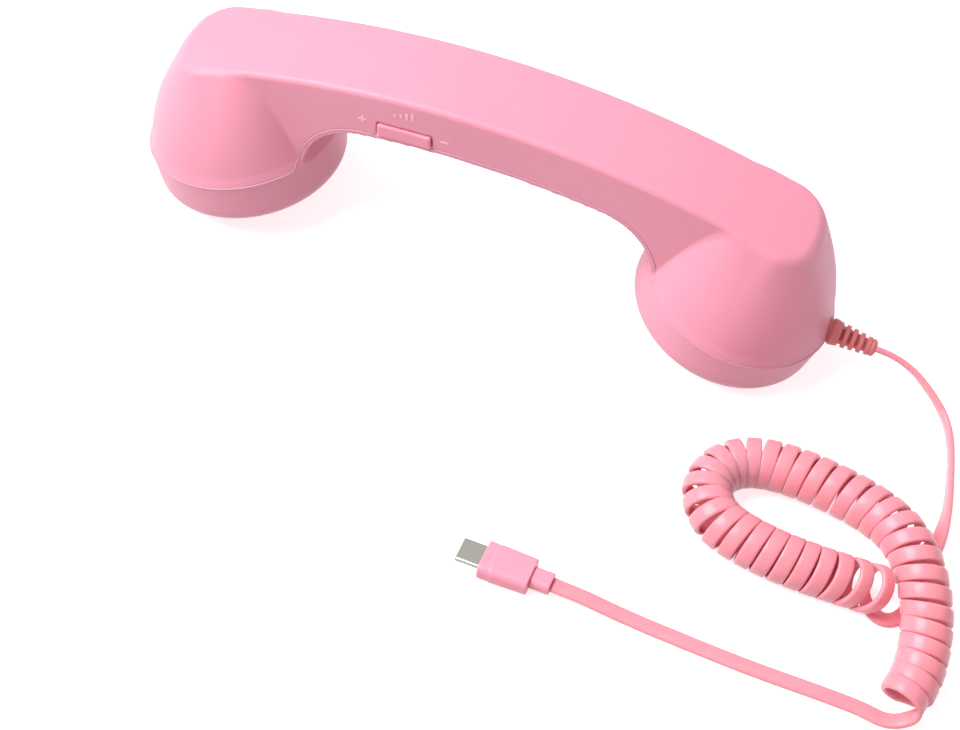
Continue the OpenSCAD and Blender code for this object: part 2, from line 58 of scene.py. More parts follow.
# Handset, as in the part
HANDLE_HALF = 14.0
ARCH_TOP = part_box("outer_shell")[1].z / MM
ARCH_R = 274.0
UNDER_TOP = 47.9
UNDER_R = 244.0
CROOK_R = 19.4
CROOK_Z = 26.1
CROOK_X = (UNDER_R - CROOK_R) * math.sin(math.acos((CROOK_Z - UNDER_TOP + UNDER_R) / (UNDER_R - CROOK_R)))
CROOK_A = math.atan2(CROOK_X, CROOK_Z - UNDER_TOP + UNDER_R)
CUP_X = 75.5
CUP_R = 28.5
CUP_TILT = math.radians(14.5)
BOWL_D = 14.5
BOWL_EDGE_R = 4.8
BOWL_DRAFT = math.radians(3)
SEAM_Z = 20.0
WALL = 2.0
LIP_T = 1.3
SEAM_GAP = 0.05

# Four screws join the cups: posts in the outer shell, bosses in the inner one
SCREW_Y = 17.0
POST_R = 3.0
POST_H = 18.0
POST_BORE_R = 1.05
POST_BORE_H = 10.0
BOSS_R = 4.0
SCREW_WELL_R = 2.6
SCREW_WELL_TOP = 5.0
SCREW_BORE_R = 1.25

# The sound holes: their radius, and the distance between rings
HOLE_R = 1.1
HOLE_PITCH = 4.6

# Loft from the round seam to a section under the arch that is round towards the hand
LOFT_MID = 13.0
LOFT_TOP = 33.0
LOFT_BLEND = 9.0
LOFT_MID_R = 23.6
LOFT_CORNER_R = 5.0
LOFT_MID_SHIFT = -1.0
LOFT_TOP_SHIFT = -7.0
LOFT_TOP_OUT = 9.6
LOFT_BOW_R = 28.0
LOFT_BULGE = 1.0
LOFT_BULGE_FROM = 3.0

# Edges of the mouldings
TOP_EDGE_R = 1.6
SEAM_EDGE_R = 0.05
CREASE_R = 0.35
CREASE_TOP_R = 1.2

# The fine bead along the seam, and the inner shell's tongue behind the outer one
BEAD_R = 0.3
BEAD_SINK = 0.14
BEAD_STEP = 0.5
BEAD_SIDES = 8
TONGUE_H = 1.2
TONGUE_INSET = 0.12
TONGUE_T = 1.2

# Keys, in the frame of the handle's underside at KEY_X.
# The rocker's face is a little hollow, the button's is dished.
KEY_X = -16.0
KEY_TILT = math.asin(-KEY_X / UNDER_R)
KEY_Z = UNDER_TOP - UNDER_R + math.sqrt(UNDER_R**2 - KEY_X**2)
ROCKER_X = -6.4
ROCKER_Z = 3.65
ROCKER_L = 15.8
ROCKER_H = 4.2
ROCKER_PROUD = 0.8
ROCKER_GAP = 0.25
ROCKER_HOLLOW = 0.12
ROCKER_HOLLOW_R = 60.0
ROCKER_PIN_Y = -10.6
ROCKER_PIN_R = 0.65
SWITCH_ARM = 5.0
CALL_X = 6.0
CALL_R = 4.0
CALL_GAP = 0.2
CALL_FLANGE = 1.0
CALL_STEM_R = 1.5
CALL_DISH_R = 20.0
CALL_DISH_TOP = 0.35

# Boot, in the frame of the outermost point of the mouthpiece's seam
BOOT_TILT = math.radians(6)
BOOT_BASE = (CUP_X + CUP_R * math.cos(CUP_TILT), SEAM_Z - CUP_R * math.sin(CUP_TILT))
BOOT_R = 3.45
BOOT_TIP_R = 2.5
BOOT_COLLAR_L = 3.1
BOOT_L = 13.8
BOOT_FLANGE_R = 4.6
BOOT_NECK_R = 2.6
BOOT_RIBS = 4
BOOT_PITCH = 2.26
BOOT_GROOVE = 0.7
BOOT_FLARE = 0.6
BOOT_SLOT_TURN = math.radians(38)
BOOT_BORE_FROM = 12.5

# Plug: the middle of its grip's cord end, and how far it turns from -X
PLUG_POS = (52.3, -106.15, 2.8)
PLUG_TURN = math.radians(1.6)
PLUG_GRIP = (11.2, 5.6, 14.0)
PLUG_TAPER = 1.0
PLUG_EDGE_R = 1.9
PLUG_BAND = 0.16
PLUG_COLLAR = (6.0, 4.0, 5.6)

# Cord
CORD_W = 4.4
CORD_T = 1.6
CORD_EDGE_R = 0.7
LEAD_HANDSET_ROUTE = [
    [116.8, 0, 11.4, 128], [122.5, -0.3, 10.8, 126], [128, -1.5, 9.5, 120],
    [133, -3.8, 7.6, 112], [138, -7.2, 5.4, 104], [141.5, -10.8, 3.8, 97],
    [144.2, -16, 2.8, 91], [146.3, -23, 2.3, 88], [148, -31, 2.2, 84], [149.4, -40, 2.2, 70],
    [149.8, -49, 1.7, 35], [149.4, -57, 1, 8], [149.2, -65, 0.8, 0], [148.4, -72, 0.8, 0],
    [146.6, -77.6, 0.8, 0], [143.6, -80.6, 0.8, 0], [140, -81.2, 1.1, 0],
    [136.3, -79.4, 2.2, 0],
]
COIL_ROUTE = [
    [139.5, -76.8, 7], [134, -77, 7], [128, -77.1, 7], [121, -77.2, 7], [112.5, -76.8, 7],
    [106, -76, 7], [99.5, -74.6, 7], [93.5, -72.2, 7], [89.2, -68, 7], [87, -62.3, 7],
    [88.2, -56, 7], [92.2, -51.3, 7], [98, -48.7, 7], [105, -47.8, 7], [112, -48, 7],
    [119, -48.9, 7], [126, -50.4, 7.1], [132, -52.5, 7.4], [138, -56, 8.1], [143, -61, 8.9],
    [147.3, -67.2, 9.3], [150.6, -74, 9], [153.2, -81.2, 8], [154.6, -89.2, 7.2],
    [155, -96.5, 7], [154.4, -102.5, 7], [153.4, -108, 7],
]
LEAD_PLUG_ROUTE = [
    [157, -109, 2.8, 0], [154.3, -110.8, 1.4, 0], [150, -110.9, 0.8, 0],
    [143, -109.9, 0.8, 0], [132, -109.5, 0.8, 0], [121, -109.4, 0.8, 0],
    [110, -109.1, 0.8, 0], [99, -108.5, 0.8, 0], [87, -107.7, 0.8, 0], [77, -107, 1.1, 0],
    [67.5, -106.5, 2.1, 0], [58, -106.3, 2.8, 0],
]

# The curly part's turns: their radius, their pitch by the distance along the route,
# the lean of the first ones by their number, and the lean of the last ones by distance
COIL_R = 7.0
COIL_CENTRE_R = 6.2
COIL_TURNS = 36
COIL_START = 0.5
COIL_END = -0.125
COIL_PITCH = [
    (0, 5.0), (6, 5.4), (14, 4.5), (35, 4.7), (60, 4.5), (85, 4.9), (100, 5.4), (134, 5.5), (180, 5.6),
]
COIL_FIRST_LEAN = [(0, 50), (1, 42), (2, 28), (3, 16), (5, 8), (8, 4), (12, 0)]
COIL_FIRST_LEAN_TO = (-0.16, 0.62, -0.77)
COIL_LAST_LEAN = [(100, 0), (120, 8), (135, 20), (165, 22), (178, 10)]


# ---- Distance fields ----


def meet(a, b, r=0.0):
    """What two fields share, with the edge between them rounded to radius r."""
    if np.all(r == 0):
        return np.maximum(a, b)
    return np.minimum(np.maximum(a, b), -r) + np.hypot(np.maximum(a + r, 0), np.maximum(b + r, 0))


def join(a, b, r=0.0):
    """Two fields together, with the crease between them filled to radius r."""
    return -meet(-a, -b, r)


def cut(a, b, r=0.0):
    """The first field without the second."""
    return meet(a, -b, r)


def oblong(u, v, half_u, half_v, r):
    """Distance to a rounded oblong about the origin."""
    out_u = np.abs(u) - (half_u - r)
    out_v = np.abs(v) - (half_v - r)
    outside = np.hypot(np.maximum(out_u, 0), np.maximum(out_v, 0))
    return outside + np.minimum(np.maximum(out_u, out_v), 0) - r


def rod(u, v, along, r, start, end, edge=0.0):
    """A cylinder of radius r from start to end."""
    middle, half = (start + end) / 2, (end - start) / 2
    return meet(np.hypot(u, v) - r, np.abs(along - middle) - half, edge)


def block(x, y, z, low, high, edge=0.0):
    """A box from its low corner to its high one."""
    middle = [(a + b) / 2 for a, b in zip(low, high)]
    half = [(b - a) / 2 for a, b in zip(low, high)]
    flat = oblong(x - middle[0], z - middle[2], half[0], half[2], edge)
    return meet(flat, np.abs(y - middle[1]) - half[1], edge)


def cup_frame(x, z):
    """Place in the frame of the nearer cup: u is away from the hand, n is along the cup's axis."""
    dx = np.abs(x) - CUP_X
    dz = z - SEAM_Z
    return (
        dx * math.cos(CUP_TILT) - dz * math.sin(CUP_TILT),
        dx * math.sin(CUP_TILT) + dz * math.cos(CUP_TILT),
    )


def key_frame(x, z):
    """Place in the frame of the keys: x along the handle, z up from its underside."""
    dx, dz = x - KEY_X, z - KEY_Z
    return (
        dx * math.cos(KEY_TILT) + dz * math.sin(KEY_TILT),
        -dx * math.sin(KEY_TILT) + dz * math.cos(KEY_TILT),
    )


def boot_frame(x, z):
    """Place in the frame of the boot: across it, and out along the cord."""
    dx, dz = x - BOOT_BASE[0], z - BOOT_BASE[1]
    return (
        dx * math.sin(BOOT_TILT) + dz * math.cos(BOOT_TILT),
        dx * math.cos(BOOT_TILT) - dz * math.sin(BOOT_TILT),
    )


def hand_gap(x, z):
    """Distance from the hand's gap under the handle: negative in the gap."""
    ax = np.abs(x)
    dz = z - (UNDER_TOP - UNDER_R)
    arch = np.hypot(ax, dz) - UNDER_R
    crook = np.hypot(ax - CROOK_X, z - CROOK_Z) - CROOK_R
    past_arch = ax * math.cos(CROOK_A) > dz * math.sin(CROOK_A)
    wall = ax - (CROOK_X + CROOK_R)
    return np.where(z < CROOK_Z, wall, np.where(past_arch, crook, arch))


def loft(u, y, n):
    """The flanks of a cup above its seam: round towards the hand, squarer and bowed at the outer end."""

    def across(n):
        up = np.clip(n, 0, None)
        start, end = LOFT_MID - LOFT_BLEND, LOFT_MID + LOFT_BLEND
        bend = np.clip(up - start, 0, 2 * LOFT_BLEND) ** 2 / (4 * LOFT_BLEND) + np.clip(up - end, 0, None)

        def station(seam, middle, top):
            low = (middle - seam) / LOFT_MID
            high = (top - middle) / (LOFT_TOP - LOFT_MID)
            return seam + low * up + (high - low) * bend

        t = np.clip((n - LOFT_BULGE_FROM) / (LOFT_TOP - LOFT_BULGE_FROM), 0, 1)
        bulge = LOFT_BULGE * 4 * t * (1 - t)
        half = station(CUP_R, LOFT_MID_R, HANDLE_HALF - 0.1) + bulge
        reach = station(CUP_R, LOFT_MID_R, LOFT_TOP_OUT - LOFT_TOP_SHIFT) + bulge
        corner = np.maximum(station(CUP_R, LOFT_MID_R, LOFT_CORNER_R), 1)
        du = u - station(0, LOFT_MID_SHIFT, LOFT_TOP_SHIFT)
        bow = station(0, 0, 1) * y**2 / (2 * LOFT_BOW_R)
        out_u = du + bow - reach + corner
        out_v = np.abs(y) - half + corner
        inside = np.minimum(np.maximum(out_u, out_v), 0)
        outer = np.hypot(np.maximum(out_u, 0), np.maximum(out_v, 0)) + inside - corner
        return np.where(du < 0, np.hypot(du, y) - half, outer)

    step = 0.25
    slope = (across(n + step) - across(n - step)) / (2 * step)
    return across(n) / np.hypot(1, slope)


def bowl(u, y, n):
    """The round front of a cup below its seam."""
    side = (np.hypot(u, y) - (CUP_R + n * math.tan(BOWL_DRAFT))) * math.cos(BOWL_DRAFT)
    return meet(side, -BOWL_D - n, BOWL_EDGE_R)


def handset(x, y, z):
    """The whole outside of the handset, with both shells as one."""
    u, n = cup_frame(x, z)
    side = np.abs(y) - HANDLE_HALF
    bar = meet(meet(side, -hand_gap(x, z), SEAM_EDGE_R), np.abs(x) - CUP_X)
    arch = np.hypot(x, z - (ARCH_TOP - ARCH_R)) - ARCH_R
    crease = CREASE_R + (CREASE_TOP_R - CREASE_R) * np.clip((n - LOFT_MID) / (LOFT_TOP - LOFT_MID), 0, 1)
    upper = meet(join(bar, loft(u, y, n), crease), arch, TOP_EDGE_R)
    return np.where(n >= 0, upper, bowl(u, y, n))


def cup_screws(u, y):
    """Distance from the line of the nearer cup screw."""
    return np.hypot(u, np.abs(y) - SCREW_Y)


def boot_hole(x, y, z):
    """What the strain relief takes out of both shells."""
    across, along = boot_frame(x, z)
    return join(
        rod(across, y, along, BOOT_R + 0.1, -1, 8),
        rod(across, y, along, BOOT_NECK_R + 0.1, -6, 8),
    )


def outer_shell(x, y, z):
    u, n = cup_frame(x, z)
    kx, kz = key_frame(x, z)
    whole = handset(x, y, z)
    below = np.minimum(n - SEAM_GAP, hand_gap(x, z) - LIP_T - SEAM_GAP)
    shell = cut(cut(whole, below, SEAM_EDGE_R), whole + WALL)
    posts = meet(cup_screws(u, y) - POST_R, np.maximum(-n + SEAM_GAP, n - POST_H))
    wells = np.maximum(cup_screws(u, y) - POST_BORE_R, n - POST_BORE_H)
    shell = cut(join(shell, np.maximum(posts, whole)), wells)
    slot = block(
        kx, y, kz,
        [ROCKER_X - ROCKER_L / 2 - ROCKER_GAP, -HANDLE_HALF - 2, LIP_T - 1],
        [ROCKER_X + ROCKER_L / 2 + ROCKER_GAP, -HANDLE_HALF + WALL + 0.2, ROCKER_Z + ROCKER_H / 2 + 0.2],
        0.5,
    )
    return cut(cut(shell, slot, 0.25), boot_hole(x, y, z))


def seam_line():
    """Points of the seam, as one loop: round each cup, and along both sides of the handle."""
    lip_r = CROOK_R + LIP_T
    sin_t, cos_t = math.sin(CUP_TILT), math.cos(CUP_TILT)
    rise = (CROOK_X - CUP_X) * sin_t + (CROOK_Z - SEAM_Z) * cos_t
    corner = math.asin(-rise / lip_r) - CUP_TILT
    corner_u = (
        lip_r * math.cos(corner + CUP_TILT) + (CROOK_X - CUP_X) * cos_t - (CROOK_Z - SEAM_Z) * sin_t
    )
    turn = np.linspace(0, math.acos(corner_u / CUP_R), 300)
    cup = np.column_stack([
        CUP_X + CUP_R * np.cos(turn) * cos_t, CUP_R * np.sin(turn), SEAM_Z - CUP_R * np.cos(turn) * sin_t,
    ])
    bend = np.linspace(corner, math.pi / 2 - CROOK_A, 80)
    over = np.linspace(CROOK_A, 0, 120)[1:]
    lip_x = np.concatenate([CROOK_X + lip_r * np.cos(bend), (UNDER_R + LIP_T) * np.sin(over)])
    lip_z = np.concatenate(
        [CROOK_Z + lip_r * np.sin(bend), UNDER_TOP - UNDER_R + (UNDER_R + LIP_T) * np.cos(over)]
    )
    inner, outer = np.full(len(lip_x), 9.0), np.full(len(lip_x), 26.0)
    for _ in range(30):
        middle = (inner + outer) / 2
        inside = handset(lip_x, middle, lip_z) < 0
        inner, outer = np.where(inside, middle, inner), np.where(inside, outer, middle)
    quarter = np.vstack([cup, np.column_stack([lip_x, inner, lip_z])])
    half = np.vstack([quarter, quarter[-2::-1] * [-1, 1, 1]])
    return np.vstack([half, half[-2::-1] * [1, -1, 1]])


def seam_runs():
    """The stretches of the seam that show: it stops at the strain relief and at the volume key."""
    line = resample(seam_line(), BEAD_STEP)
    across, _ = boot_frame(line[:, 0], line[:, 2])
    at_boot = (line[:, 0] > BOOT_BASE[0] - 3) & (np.hypot(across, line[:, 1]) < BOOT_R + 0.4)
    kx, kz = key_frame(line[:, 0], line[:, 2])
    at_key = (line[:, 1] < 0) & (np.abs(kx - ROCKER_X) < ROCKER_L / 2 + 0.6) & (kz < ROCKER_H)
    shown = np.flatnonzero(~(at_boot | at_key))
    return [line[run] for run in np.split(shown, np.flatnonzero(np.diff(shown) > 1) + 1)]


def sound_holes(u, y, rings):
    """Distance from the nearest hole of a centre hole and its rings."""
    nearest = np.hypot(u, y)
    for ring in range(1, rings + 1):
        reach = ring * HOLE_PITCH
        for i in range(6 * ring):
            angle = math.radians(60 * i / ring)
            nearest = np.minimum(
                nearest, np.hypot(u - reach * math.cos(angle), y - reach * math.sin(angle))
            )
    return nearest - HOLE_R


def inner_shell(x, y, z):
    u, n = cup_frame(x, z)
    kx, kz = key_frame(x, z)
    whole = handset(x, y, z)
    part = np.minimum(n, hand_gap(x, z) - LIP_T)
    shell = cut(meet(whole, part, SEAM_EDGE_R), whole + WALL)
    tongue = meet(np.abs(part) - TONGUE_H, np.abs(whole + TONGUE_INSET + TONGUE_T / 2) - TONGUE_T / 2)
    bosses = np.maximum(cup_screws(u, y) - BOSS_R, np.maximum(n, -BOWL_D + WALL / 2 - n))
    shell = join(join(shell, tongue), bosses)
    well = np.maximum(cup_screws(u, y) - SCREW_WELL_R, n + SCREW_WELL_TOP)
    shell = cut(cut(shell, well, 0.3), cup_screws(u, y) - SCREW_BORE_R)
    holes = np.where(x < 0, sound_holes(u, y, 2), sound_holes(u, y, 1))
    shell = cut(shell, np.maximum(holes, n + BOWL_D - WALL - 1), 0.3)
    button = np.maximum(np.hypot(kx - CALL_X, y) - CALL_R - CALL_GAP, np.abs(kz) - 4)
    return cut(cut(shell, button, 0.2), boot_hole(x, y, z))


def volume_rocker(x, y, z):
    """The rocker: a face hollowed a little in the middle, a boss round its pin, and two pushers."""
    kx, kz = key_frame(x, z)
    kx, kz = kx - ROCKER_X, kz - ROCKER_Z
    face = block(
        kx, y, kz,
        [-ROCKER_L / 2, -HANDLE_HALF - ROCKER_PROUD, -ROCKER_H / 2],
        [ROCKER_L / 2, -HANDLE_HALF + WALL + 0.6, ROCKER_H / 2],
        0.6,
    )
    hollow_y = ROCKER_HOLLOW - HANDLE_HALF - ROCKER_PROUD - ROCKER_HOLLOW_R
    hollow = np.hypot(kx, y - hollow_y) - ROCKER_HOLLOW_R
    face = cut(face, hollow, 0.3)
    boss = block(kx, y, kz, [-1.5, -12.2, -ROCKER_H / 2], [1.5, ROCKER_PIN_Y + 1.3, ROCKER_H / 2], 0.3)
    pushers = rod(np.abs(kx) - SWITCH_ARM, kz, y, 0.9, -12.2, -10.2, 0.2)
    whole = join(join(face, boss, 0.3), pushers, 0.2)
    return cut(whole, np.hypot(kx, y - ROCKER_PIN_Y) - ROCKER_PIN_R)


def call_button(x, y, z):
    """The call button: a dished face, a flange that keeps it in, and a stem."""
    kx, kz = key_frame(x, z)
    r = np.hypot(kx - CALL_X, y)
    dish = np.hypot(r, kz + CALL_DISH_R + CALL_DISH_TOP) - CALL_DISH_R
    cap = cut(meet(r - CALL_R, np.abs(kz - 0.5) - 1.1, 0.4), dish, 0.3)
    flange = meet(r - CALL_R - CALL_FLANGE, np.abs(kz - 1.85) - 0.35, 0.15)
    stem = meet(r - CALL_STEM_R, np.abs(kz - 2.4) - 1, 0.15)
    return join(join(cap, flange, 0.2), stem, 0.2)


def boot(x, y, z):
    """The strain relief: a collar, ribs that shrink towards the tip, and slots between them."""
    across, along = boot_frame(x, z)
    r = np.hypot(across, y)
    fade = (BOOT_R - BOOT_TIP_R) / BOOT_RIBS
    taper = BOOT_R - fade * np.clip((along - BOOT_COLLAR_L) / BOOT_PITCH, 0, BOOT_RIBS)
    flange = rod(across, y, along, BOOT_FLANGE_R, -4.6, -3.2, 0.2)
    neck = rod(across, y, along, BOOT_NECK_R, -4, 1)
    flare = BOOT_FLARE * np.clip(1 - along / BOOT_COLLAR_L, 0, 1) * np.clip(along + 0.2, 0, 1)
    collar = rod(across, y, along, BOOT_R, -1, BOOT_COLLAR_L, 0.3) - flare
    core = meet(r - taper + BOOT_GROOVE, np.abs(along - BOOT_L / 2) - BOOT_L / 2, 0.3)
    tip_from = BOOT_COLLAR_L + BOOT_RIBS * BOOT_PITCH - 0.4
    tip = rod(across, y, along, BOOT_TIP_R, tip_from, BOOT_L, 1.0)
    body = join(join(join(flange, neck), join(collar, core, 0.2)), tip, 0.2)
    depth = across * math.cos(BOOT_SLOT_TURN) - y * math.sin(BOOT_SLOT_TURN)
    width = across * math.sin(BOOT_SLOT_TURN) + y * math.cos(BOOT_SLOT_TURN)
    for i in range(BOOT_RIBS):
        start = BOOT_COLLAR_L + i * BOOT_PITCH
        rib = meet(r - BOOT_R + 0.05 + i * fade, np.abs(along - start - 1.6) - 0.62, 0.25)
        body = join(body, rib, 0.12)
        slot = np.maximum(np.abs(width) - 1.55, np.abs(along - start - 0.5) - 0.45)
        body = cut(body, np.maximum(slot, 1.3 - np.abs(depth)), 0.1)
    bore = oblong(width, depth, CORD_W / 2, CORD_T / 2, CORD_EDGE_R)
    return cut(body, np.maximum(bore, BOOT_BORE_FROM - along))


def plug_frame(x, y):
    """Place in the frame of the plug: across it, and along it from the grip's cord end to the tip."""
    dx, dy = x - PLUG_POS[0], y - PLUG_POS[1]
    return (
        dx * math.sin(PLUG_TURN) + dy * math.cos(PLUG_TURN),
        dy * math.sin(PLUG_TURN) - dx * math.cos(PLUG_TURN),
    )


def plug_grip(x, y, z):
    """The plug's grip: a rounded oblong that widens towards the socket, with a lower band at its front."""
    across, along = plug_frame(x, y)
    wide, high, deep = PLUG_GRIP
    half = (wide - PLUG_TAPER * (1 - along / deep)) / 2
    section = oblong(across, z - PLUG_POS[2], half, high / 2, PLUG_EDGE_R)
    pad = oblong(across, along - deep / 2 + 2.9, half - 1.2, deep / 2, 1.6)
    section = section + PLUG_BAND * np.clip(pad / 0.5 + 0.5, 0, 1) * np.clip(along - deep + 4, 0, 1)
    return meet(meet(section, -along, 0.35), along - deep, 0.5)


def plug_collar(x, y, z):
    """The narrower collar behind the grip."""
    across, along = plug_frame(x, y)
    wide, high, deep = PLUG_COLLAR
    section = oblong(across, z - PLUG_POS[2], wide / 2, high / 2, 1.5)
    return meet(section, np.abs(along + deep / 2) - deep / 2, 0.35)


def key_marks(x, y, z):
    """A plus, a minus and a rising wedge, standing out of the handle's side."""
    kx, kz = key_frame(x, z)

    def bar(cx, cz, half_x, half_z):
        return oblong(kx - cx, kz - cz, half_x, half_z, 0.3)

    plus = np.minimum(bar(-18.7, 5.9, 1.3, 0.35), bar(-18.7, 5.9, 0.35, 1.3))
    minus = bar(5.4, 5.2, 1.3, 0.35)
    flat = np.minimum(plus, minus)
    for i in range(4):
        tall = 0.45 + 0.35 * i
        flat = np.minimum(flat, bar(-9 + 1.7 * i, 10 + tall, 0.42, tall))
    return meet(flat, np.abs(y + HANDLE_HALF) - 0.12, 0.06)


# ---- Meshes ----


def gradient(field, points, step=0.02):
    """The field's slope at each point, which points out of the piece."""
    slope = np.empty_like(points)
    for axis in range(3):
        low, high = points.copy(), points.copy()
        low[:, axis] -= step
        high[:, axis] += step
        slope[:, axis] = (field(*high.T) - field(*low.T)) / (2 * step)
    return slope


def field_mesh(name, field, low, high, voxel):
    """A mesh of the surface where the field is zero, between two corners of a box."""
    margin = 3 * voxel
    low, high = np.array(low, float) - margin, np.array(high, float) + margin
    axes = [np.arange(a, b, voxel) for a, b in zip(low, high)]
    x, y, z = np.meshgrid(*axes, indexing="ij")
    grid = openvdb.FloatGrid(4 * voxel)
    values = np.clip(field(x, y, z), -4 * voxel, 4 * voxel)
    grid.copyFromArray(np.ascontiguousarray(values, dtype=np.float32))
    points, quads = grid.convertToQuads(isovalue=0.0)
    points = points.astype(float) * voxel + low
    for _ in range(3):
        slope = gradient(field, points)
        size = np.maximum((slope**2).sum(1), 0.25)
        move = -(field(*points.T) / size)[:, None] * slope
        points += np.clip(move, -voxel / 2, voxel / 2)
    normals = gradient(field, points)
    normals /= np.maximum(np.linalg.norm(normals, axis=1), 1e-9)[:, None]
    mesh = bpy.data.meshes.new(name)
    if flipped(points, quads, normals):
        quads = quads[:, ::-1]
    mesh.from_pydata(points * MM, [], quads.tolist())
    mesh.shade_smooth()
    mesh.normals_split_custom_set_from_vertices(normals.tolist())
    piece = bpy.data.objects.new(name, mesh)
    bpy.context.scene.collection.objects.link(piece)
    return piece


def flipped(points, quads, normals):
    """True if the quads face into the piece."""
    a, b, c = points[quads[:, 0]], points[quads[:, 1]], points[quads[:, 2]]
    return (np.cross(b - a, c - a) * normals[quads[:, 0]]).sum() < 0


def unit(v):
    return v / np.maximum(np.linalg.norm(v, axis=-1, keepdims=True), 1e-9)


def resample(line, step):
    """The same line with a row every step along it."""
    gaps = np.linalg.norm(np.diff(line[:, :3], axis=0), axis=1)
    run = np.concatenate([[0], np.cumsum(gaps)])
    at = np.linspace(0, run[-1], int(round(run[-1] / step)) + 1)
    return np.column_stack([np.interp(at, run, column) for column in line.T])


def smooth_line(points, step):
    """A smooth line through the points, with a row every step along it."""
    p = np.array(points, float)
    q = np.vstack([2 * p[0] - p[1], p, 2 * p[-1] - p[-2]])
    t = np.linspace(0, 1, 24, endpoint=False)[:, None]
    spans = [
        0.5 * (2 * b + (c - a) * t + (2 * a - 5 * b + 4 * c - d) * t**2 + (3 * b - a - 3 * c + d) * t**3)
        for a, b, c, d in zip(q, q[1:], q[2:], q[3:])
    ]
    return resample(np.vstack(spans + [p[-1:]]), step)


def lead(route):
    """Rows of a lead: its line, and the direction of its width."""
    line = smooth_line(route, 0.8)
    along = unit(np.gradient(line[:, :3], axis=0))
    side = unit(np.cross([0, 0, 1], along))
    top = np.cross(along, side)
    roll = np.radians(line[:, 3:4])
    return line[:, :3], np.cos(roll) * side + np.sin(roll) * top


def by_table(at, table):
    """A value read off a short table, in between its rows."""
    return np.interp(at, [row[0] for row in table], [row[1] for row in table])


def curl(route):
    """Rows of the curly part: a left-handed helix round its route, whose loops lean as the tables say."""
    centre = smooth_line(route, 0.1)
    steps = np.linalg.norm(np.diff(centre, axis=0), axis=1)
    run = np.concatenate([[0], np.cumsum(steps)])
    turns = np.cumsum(np.gradient(run) / by_table(run, COIL_PITCH))
    turns *= (COIL_TURNS + COIL_END) / turns[-1]
    back = -unit(np.gradient(centre, axis=0))
    first = np.radians(by_table(turns, COIL_FIRST_LEAN))[:, None]
    lean_to = np.array(COIL_FIRST_LEAN_TO)
    aside = unit(lean_to - (back @ lean_to)[:, None] * back)
    axis = np.cos(first) * back + np.sin(first) * aside
    last = np.radians(by_table(run, COIL_LAST_LEAN))[:, None]
    upright = unit(np.array([0, 0, 1]) - axis[:, 2:3] * axis)
    axis = np.cos(last) * axis + np.sin(last) * upright
    centre = centre - np.array([0, 0, 1]) * COIL_R * (1 - np.cos(last))
    top = unit(np.array([0, 0, 1]) - axis[:, 2:3] * axis)
    front = np.cross(axis, top)
    phase = 2 * math.pi * (turns + COIL_START)[:, None]
    line = centre + COIL_CENTRE_R * (np.cos(phase) * top + np.sin(phase) * front)
    rows = resample(np.hstack([line, axis]), 0.9)
    return rows[:, :3], rows[:, 3:]


def soften(rows, reach, passes=3):
    """Rows averaged with their neighbours, which takes kinks out of a line."""
    for _ in range(passes):
        padded = np.vstack([rows[:1]] * reach + [rows] + [rows[-1:]] * reach)
        window = np.ones(2 * reach + 1) / (2 * reach + 1)
        soft = np.column_stack([np.convolve(column, window, mode="valid") for column in padded.T])
        rows = soft
    return rows


def blend_joint(first, second, reach):
    """Two stretches of cord as one, with only the rows near their joint softened."""
    line, width = np.vstack([first[0][:-2], second[0][2:]]), np.vstack([first[1][:-2], second[1][2:]])
    at = len(first[0]) - 2
    if (width[at - 1] * width[at]).sum() < 0:
        width[:at] *= -1
    window = slice(at - reach, at + reach)
    span = resample(np.hstack([line[window], width[window]]), 0.8)
    ease = np.sin(np.linspace(0, math.pi, len(span)))[:, None]
    span = span * (1 - ease) + soften(span, 4) * ease
    line = np.vstack([line[: at - reach], span[:, :3], line[at + reach:]])
    return line, np.vstack([width[: at - reach], span[:, 3:], width[at + reach:]])


def half_height(line, width):
    """How far the flat cord reaches below its line, as it is turned at each point."""
    along = unit(np.gradient(line, axis=0))
    wide = unit(width - (width * along).sum(1)[:, None] * along)
    thick = np.cross(along, wide)
    return np.abs(wide[:, 2]) * CORD_W / 2 + np.abs(thick[:, 2]) * CORD_T / 2


def ribbon(name, line, width):
    """A mesh of a flat cord with round edges that follows the line."""
    along = unit(np.gradient(line, axis=0))
    wide = unit(width - (width * along).sum(1)[:, None] * along)
    thick = np.cross(along, wide)
    ring = []
    for sx, sy, start in ((1, 1, 0), (-1, 1, 90), (-1, -1, 180), (1, -1, 270)):
        for k in range(4):
            a = math.radians(start + 30 * k)
            ring.append((sx * (CORD_W / 2 - CORD_EDGE_R) + CORD_EDGE_R * math.cos(a),
                         sy * (CORD_T / 2 - CORD_EDGE_R) + CORD_EDGE_R * math.sin(a)))
    ring = np.array(ring)
    points = line[:, None] + ring[:, 0, None] * wide[:, None] + ring[:, 1, None] * thick[:, None]
    n, m = len(line), len(ring)
    faces = [
        (i * m + j, i * m + (j + 1) % m, (i + 1) * m + (j + 1) % m, (i + 1) * m + j)
        for i in range(n - 1)
        for j in range(m)
    ]
    faces += [tuple(range(m))[::-1], tuple((n - 1) * m + j for j in range(m))]
    mesh = bpy.data.meshes.new(name)
    mesh.from_pydata((points.reshape(-1, 3) * MM).tolist(), [], faces)
    mesh.validate()
    mesh.shade_smooth()
    piece = bpy.data.objects.new(name, mesh)
    bpy.context.scene.collection.objects.link(piece)
    return piece


